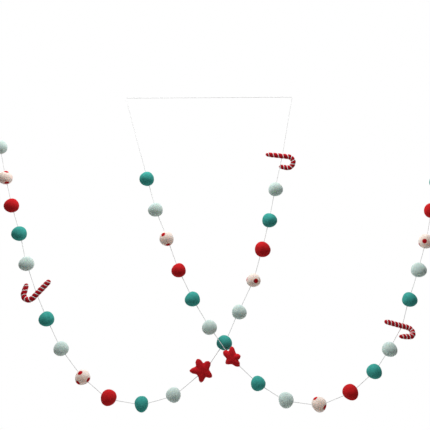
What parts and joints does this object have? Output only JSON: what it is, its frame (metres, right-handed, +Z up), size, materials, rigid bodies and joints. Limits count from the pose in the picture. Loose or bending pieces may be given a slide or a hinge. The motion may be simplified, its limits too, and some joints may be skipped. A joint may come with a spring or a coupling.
{
  "type": "felt ball garland",
  "caption": "Festive garland of felted wool balls, small candy-striped canes and puffy stars on a thin cotton string, hung in two crossing swags.",
  "frame": {"origin": "the left nail, where the string bends down into the front swag", "axes": "+X to the right along the row of nails, +Y away from the viewer into the wall, +Z up"},
  "size_m": [0.8438, 0.0417, 0.5329],
  "materials": {
    "mint_felt": "matte felted wool",
    "teal_felt": "matte felted wool",
    "white_felt": "matte felted wool with small red dots",
    "red_felt": "matte felted wool",
    "cane_felt": "matte felted wool wound with a thin cream thread",
    "star_felt": "matte felted wool",
    "string_cotton": "matte twisted cotton"
  },
  "bodies": {
    "root": {"ball_01_mint": "mint_felt", "ball_02_white": "white_felt", "ball_03_red": "red_felt", "ball_04_teal": "teal_felt", "ball_05_mint": "mint_felt", "ball_07_teal": "teal_felt", "ball_08_mint": "mint_felt", "ball_09_white": "white_felt", "ball_10_red": "red_felt", "ball_11_teal": "teal_felt", "ball_12_mint": "mint_felt", "ball_14_teal": "teal_felt", "ball_15_mint": "mint_felt", "ball_16_white": "white_felt", "ball_17_red": "red_felt", "ball_18_teal": "teal_felt", "ball_19_mint": "mint_felt", "ball_21_teal": "teal_felt", "ball_22_mint": "mint_felt", "ball_23_white": "white_felt", "ball_24_red": "red_felt", "ball_25_teal": "teal_felt", "ball_26_mint": "mint_felt", "ball_28_teal": "teal_felt", "ball_29_mint": "mint_felt", "ball_30_white": "white_felt", "ball_31_red": "red_felt", "ball_32_teal": "teal_felt", "ball_33_mint": "mint_felt", "ball_35_teal": "teal_felt", "ball_36_mint": "mint_felt", "ball_37_white": "white_felt", "ball_38_red": "red_felt", "ball_39_teal": "teal_felt", "cane_06": "cane_felt", "cane_20": "cane_felt", "cane_34": "cane_felt", "end_loop_left": "string_cotton", "end_loop_right": "string_cotton", "star_13": "star_felt", "star_27": "star_felt", "string": "string_cotton"}
  },
  "joints": []
}
